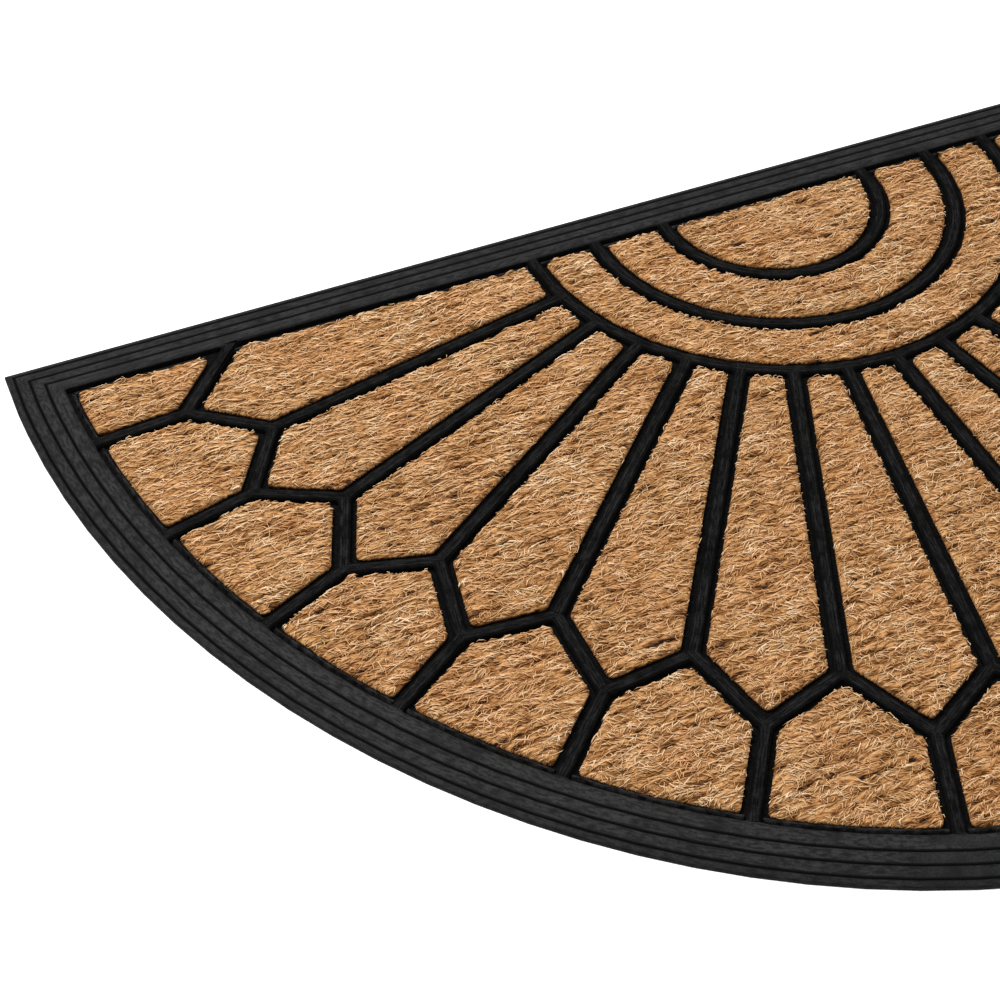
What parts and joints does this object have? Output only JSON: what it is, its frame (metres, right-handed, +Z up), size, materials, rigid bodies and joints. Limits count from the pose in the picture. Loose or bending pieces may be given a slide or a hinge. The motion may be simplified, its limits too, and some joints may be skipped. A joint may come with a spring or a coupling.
{
  "type": "coir doormat",
  "caption": "Half-round doormat: a moulded rubber tray with a stepped border and sunburst ribs, its cells filled with coir pile.",
  "frame": {"origin": "middle of the mat's footprint, on the floor", "axes": "+X along the straight side, +Y from the oval side to the straight side, +Z up"},
  "size_m": [0.75, 0.45, 0.0062],
  "materials": {
    "rubber": "matt charcoal moulded rubber",
    "coir": "rough golden-brown coir pile"
  },
  "bodies": {
    "root": {"rubber_tray": "rubber", "coir_sun_1": "coir", "coir_sun_2": "coir", "coir_sun_3": "coir", "coir_petal_01": "coir", "coir_petal_02": "coir", "coir_petal_03": "coir", "coir_petal_04": "coir", "coir_petal_05": "coir", "coir_petal_06": "coir", "coir_petal_07": "coir", "coir_petal_08": "coir", "coir_petal_09": "coir", "coir_petal_10": "coir", "coir_petal_11": "coir", "coir_petal_12": "coir", "coir_petal_13": "coir", "coir_petal_14": "coir", "coir_petal_15": "coir", "coir_petal_16": "coir", "coir_rim_00": "coir", "coir_rim_01": "coir", "coir_rim_02": "coir", "coir_rim_03": "coir", "coir_rim_04": "coir", "coir_rim_05": "coir", "coir_rim_06": "coir", "coir_rim_07": "coir", "coir_rim_08": "coir", "coir_rim_09": "coir", "coir_rim_10": "coir", "coir_rim_11": "coir", "coir_rim_12": "coir", "coir_rim_13": "coir", "coir_rim_14": "coir", "coir_rim_15": "coir", "coir_rim_16": "coir"}
  },
  "joints": []
}
